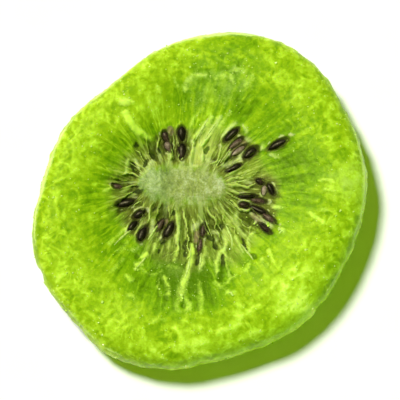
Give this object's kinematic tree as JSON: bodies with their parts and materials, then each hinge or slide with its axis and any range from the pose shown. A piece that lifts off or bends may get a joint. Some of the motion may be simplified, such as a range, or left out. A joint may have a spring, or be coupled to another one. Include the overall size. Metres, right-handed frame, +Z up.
{
  "type": "candied kiwi slice",
  "caption": "Round slice of green candied kiwi with a puffy rim, a sunken seed zone and a pale oval core, lying flat and slightly curled.",
  "frame": {"origin": "centre of the slice's box at its lowest height, on the surface it lies on", "axes": "+Z up out of the shown face; +Y towards the far side of the shown face; +X to the right, along the core's longer way"},
  "size_m": [0.043, 0.044, 0.0071],
  "materials": {
    "flesh": "moist, translucent bright green candied fruit flesh, finely grained with sugar",
    "seeds": "small satin seeds, black to dark brown, some with dried pale brown skins",
    "fibres": "thin dried fibres, pale yellow-green",
    "sugar": "fine clear sugar crystals, tinted by the flesh below"
  },
  "bodies": {
    "root": {"kiwi_slice": "flesh"}
  },
  "joints": []
}
